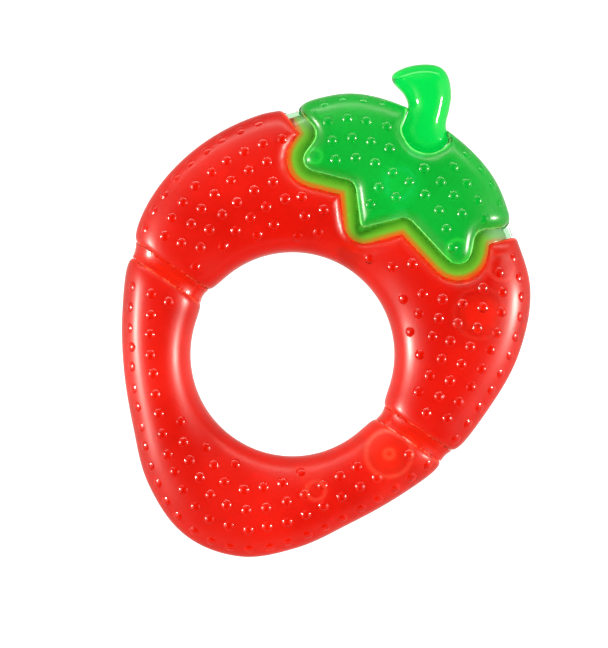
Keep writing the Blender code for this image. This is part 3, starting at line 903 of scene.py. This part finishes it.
def make_leaf_web():
    """The weld along the leaf's edge: olive on the leaf's side with a painted highlight line, orange on the
    berry's, clear at its ends.
    """
    def past_wall(p):
        return np.abs(polygon_distance(local(p), LEAF_OUTLINE)) - seam_half(local(p)) - WELD_OVERLAP

    def field(p):
        inside = np.maximum(ring_field(p, seam_weld_inset(p)), past_wall(p))
        return np.maximum(inside, SEAM_WELD_Z - p[:, 2])

    low, high = node_box("leaf_seam_web", 0.0015)
    high[2] = SPLIT_Z + FRONT_RISE[1]
    mesh = mesh_from("leaf_seam_weld", surface(field, low, high, SMALL_STEP))
    points = mesh_values(mesh.vertices, "co", 3)
    across = polygon_distance(local(points), LEAF_OUTLINE)
    # The weld's colours, with a painted highlight line of lighter green just off its centre line
    colours = np.stack([np.interp(across, SEAM_TINT_AT, channel) for channel in zip(*SEAM_COLOURS_AND_HIGHLIGHT)], 1)
    from_hole = np.hypot(*local(points).T)
    ends = np.interp(from_hole, SEAM_ENDS_AT, (0, 1))[:, None]
    paint(mesh, colours * (1 - ends) + np.array(SEAM_END_TINT) * ends)
    mesh.materials.append(SEAM_SKIN)
    mesh.materials.append(BONDED)
    upright = np.abs(mesh_values(mesh.polygons, "normal", 3)[:, 2]) < UPRIGHT_WEB
    mesh.polygons.foreach_set("material_index", upright.astype(np.int32))
    add_piece("leaf_seam_weld", mesh, "leaf_seam_web")


def make_neck_web(side):
    """The pinch seam between the upper and lower chambers, on one side of the hole."""
    def past_wall(p):
        return np.abs(along_berry(local(p))) - NECK_HALF - WELD_OVERLAP

    def field(p):
        return np.maximum(ring_field(p, NECK_WELD_INSET), past_wall(p))

    node = f"{side}_neck_web"
    mesh = mesh_from(f"{side}_neck_weld", surface(field, *node_box(node, 0.0010), SMALL_STEP))
    mesh.materials.append(NECK_SKIN)
    mesh.materials.append(BONDED)
    walls = np.abs(past_wall(mesh_values(mesh.polygons, "center", 3))) < WEB_END_REACH
    mesh.polygons.foreach_set("material_index", walls.astype(np.int32))
    add_piece(f"{side}_neck_weld", mesh, node)


def make_stem():
    """The hooked stalk, rounded like a pillow; its root is welded into the leaf."""
    square = 2.2

    def field(p):
        depth = polygon_distance(local(p), STEM_CURVE)
        in_plan = np.maximum(1 + depth / STEM_SOFT_EDGE, 0)
        up = (p[:, 2] - SPLIT_Z) / (STEM_THICKNESS / 2)
        return ((in_plan**square + np.abs(up)**square)**(1 / square) - 1) * STEM_SOFT_EDGE

    mesh = mesh_from("stem_stalk", surface(field, *node_box("stem"), SMALL_STEP * 1.2))
    mesh.materials.append(STEM_SKIN)
    mesh.materials.append(BONDED)
    centres = mesh_values(mesh.polygons, "center", 3)
    on_side = polygon_distance(local(centres), STEM_CURVE) > -ON_WALL
    rooted = on_side & (ring_field(centres, 0.0) < -STEM_WELD_INSET)
    mesh.polygons.foreach_set("material_index", rooted.astype(np.int32))
    add_piece("stem_stalk", mesh, "stem")


def make_plug(chamber, skin):
    """A turned fill plug with soft edges: a dimpled head, and a thinner tip through the boss."""
    centre, boss_radius = PLUGS[chamber]
    head = boss_radius - BORE_RIM - GAP
    tip = head - BORE_STEP
    step_z = BORE_STEP_Z - GAP
    dimple_z = PLUG_SINK + PLUG_DIMPLE_DEPTH
    corners = (
        (0.0, dimple_z, 0.0), (PLUG_DIMPLE_RADIUS * 0.7, dimple_z, 0.0002),
        (PLUG_DIMPLE_RADIUS, PLUG_SINK, 0.00015), (head, PLUG_SINK, 0.0003), (head, step_z, 0.0002),
        (tip, step_z, 0.0001), (tip, PLUG_TIP_Z, 0.0004), (0.0, PLUG_TIP_Z, 0.0),
    )
    name = f"{chamber}_fill_plug"
    mesh = turned(f"{name}_turned", corners, centre)
    mesh.materials.append(skin)
    add_piece(f"{name}_turned", mesh, name)


make_leaf_web()
make_neck_web("left")
make_neck_web("right")
make_stem()
make_plug("upper", PLUG_SKIN)
make_plug("lower", PLUG_SKIN)
make_plug("leaf", LEAF_PLUG_SKIN)

# ---------------------------------------------------------------- floor, lights and camera


def make_floor():
    bpy.ops.mesh.primitive_plane_add(size=4, location=(*HOLE_CENTRE, -0.0002))
    floor = bpy.context.object
    floor.name = "light_table"
    material, nodes, links = new_material("light_table")
    shader = nodes["Principled BSDF"]
    shader.inputs["Base Color"].default_value = (0.04, 0.04, 0.04, 1)
    shader.inputs["Roughness"].default_value = 1
    shader.inputs["Specular IOR Level"].default_value = 0
    shader.inputs["Emission Color"].default_value = (1, 1, 1, 1)
    shader.inputs["Emission Strength"].default_value = 1.35
    floor.data.materials.append(material)
    floor.visible_glossy = False


WARM = (1.0, 0.94, 0.84)
PHOTO_TILT = radians(29.5)
IMAGE_RIGHT = Vector((cos(PHOTO_TILT), sin(PHOTO_TILT), 0))
IMAGE_UP = Vector((-sin(PHOTO_TILT), cos(PHOTO_TILT), 0))
TARGET = Vector((*HOLE_CENTRE, SPLIT_Z))


def from_picture(right, up, high):
    """A step to the picture's right, to its top and towards the camera."""
    return IMAGE_RIGHT * right + IMAGE_UP * up + Vector((0, 0, high))


def make_world():
    """A dim room with a pale band at the horizon and broad soft glows round the ring."""
    world = bpy.data.worlds.new("studio")
    bpy.context.scene.world = world
    world.use_nodes = True
    nodes, links = world.node_tree.nodes, world.node_tree.links
    place = nodes.new("ShaderNodeTexCoord")
    parts = nodes.new("ShaderNodeSeparateXYZ")
    height = nodes.new("ShaderNodeMapRange")
    height.inputs["From Min"].default_value = -1
    ramp = nodes.new("ShaderNodeValToRGB")
    ramp.color_ramp.elements[0].color = (*[WORLD_LIGHT[0][1]] * 3, 1)
    ramp.color_ramp.elements[1].color = (*[WORLD_LIGHT[-1][1]] * 3, 1)
    for at, value in WORLD_LIGHT[1:-1]:
        ramp.color_ramp.elements.new((at + 1) / 2).color = (value, value, value, 1)
    links.new(place.outputs["Generated"], parts.inputs["Vector"])
    links.new(parts.outputs["Z"], height.inputs["Value"])
    links.new(height.outputs["Result"], ramp.inputs["Fac"])
    light = ramp.outputs["Color"]
    for right, up, high, tightness, strength in GLOWS:
        towards = nodes.new("ShaderNodeVectorMath")
        towards.operation = 'DOT_PRODUCT'
        towards.inputs[1].default_value = from_picture(right, up, high).normalized()
        links.new(place.outputs["Generated"], towards.inputs[0])
        glow = light
        for operation, number in (('MAXIMUM', 0.0), ('POWER', tightness), ('MULTIPLY', strength)):
            step = nodes.new("ShaderNodeMath")
            step.operation = operation
            step.inputs[1].default_value = number
            links.new(towards.outputs["Value"] if glow is light else glow, step.inputs[0])
            glow = step.outputs["Value"]
        total = nodes.new("ShaderNodeMath")
        total.operation = 'ADD'
        links.new(light, total.inputs[0])
        links.new(glow, total.inputs[1])
        light = total.outputs["Value"]
    nodes["Background"].inputs["Color"].default_value = (*WARM, 1)
    links.new(light, nodes["Background"].inputs["Strength"])


def area_lamp(name, right, up, high, size, power, shines=True):
    """A soft box aimed at the ring, placed by the picture's right, up and towards the camera.

    One that doesn't shine lights the surfaces without being mirrored in them.
    """
    data = bpy.data.lights.new(name, 'AREA')
    data.shape = 'RECTANGLE'
    data.size, data.size_y = size
    data.energy = power
    data.color = WARM
    lamp = bpy.data.objects.new(name, data)
    bpy.context.scene.collection.objects.link(lamp)
    offset = from_picture(right, up, high)
    lamp.location = TARGET + offset
    lamp.rotation_mode = 'QUATERNION'
    lamp.rotation_quaternion = (-offset).to_track_quat('-Z', 'Y')
    lamp.visible_camera = False
    lamp.visible_glossy = shines
    lamp.visible_transmission = shines


def make_camera():
    """Straight down on the front, turned so that the stem leans to the right as in the photo."""
    distance = 0.9
    seen_high = 0.1337
    data = bpy.data.cameras.new("camera")
    data.sensor_width = 36
    data.lens = data.sensor_width * distance / seen_high
    data.clip_start = 0.01
    camera = bpy.data.objects.new("camera", data)
    bpy.context.scene.collection.objects.link(camera)
    camera.location = TARGET + from_picture(0.00239, 0.00625, distance)
    camera.rotation_euler = (0, 0, PHOTO_TILT)
    bpy.context.scene.camera = camera


# How bright the room is by height, from straight down (-1) to straight up (1)
WORLD_LIGHT = (
    (-1, 1.2), (-0.96, 0.9), (-0.80, 0.30), (-0.04, 0.25),
    (0.03, 0.75), (0.14, 0.65), (0.28, 0.06), (1, 0.025),
)
# Soft glows: how far to the picture's right, its top and the camera each one lies, how tight and how strong
GLOWS = (
    (-1.0, -0.10, 0.50, 16, 5.0), (1.0, -0.10, 0.50, 16, 3.0), (-0.30, 1.0, 0.60, 12, 1.1),
    (-1.0, 0.0, -0.35, 6, 0.6), (1.0, 0.0, -0.35, 6, 0.6),
)

make_floor()
make_world()
area_lamp("left_spot", -0.60, -0.02, 0.23, (0.09, 0.09), 6.0)
area_lamp("right_spot", 0.60, -0.02, 0.23, (0.09, 0.09), 5.2)
area_lamp("left_fill", -0.50, 0.10, 0.40, (0.40, 0.40), 6, shines=False)
area_lamp("right_fill", 0.50, 0.10, 0.40, (0.40, 0.40), 6, shines=False)
area_lamp("back_strip", 0.0, 0.60, 0.10, (1.3, 0.12), 3)
make_camera()
bpy.context.scene.view_settings.view_transform = 'Standard'
bpy.context.scene.cycles.max_bounces = 24
bpy.context.scene.cycles.transmission_bounces = 24
bpy.context.scene.cycles.glossy_bounces = 24
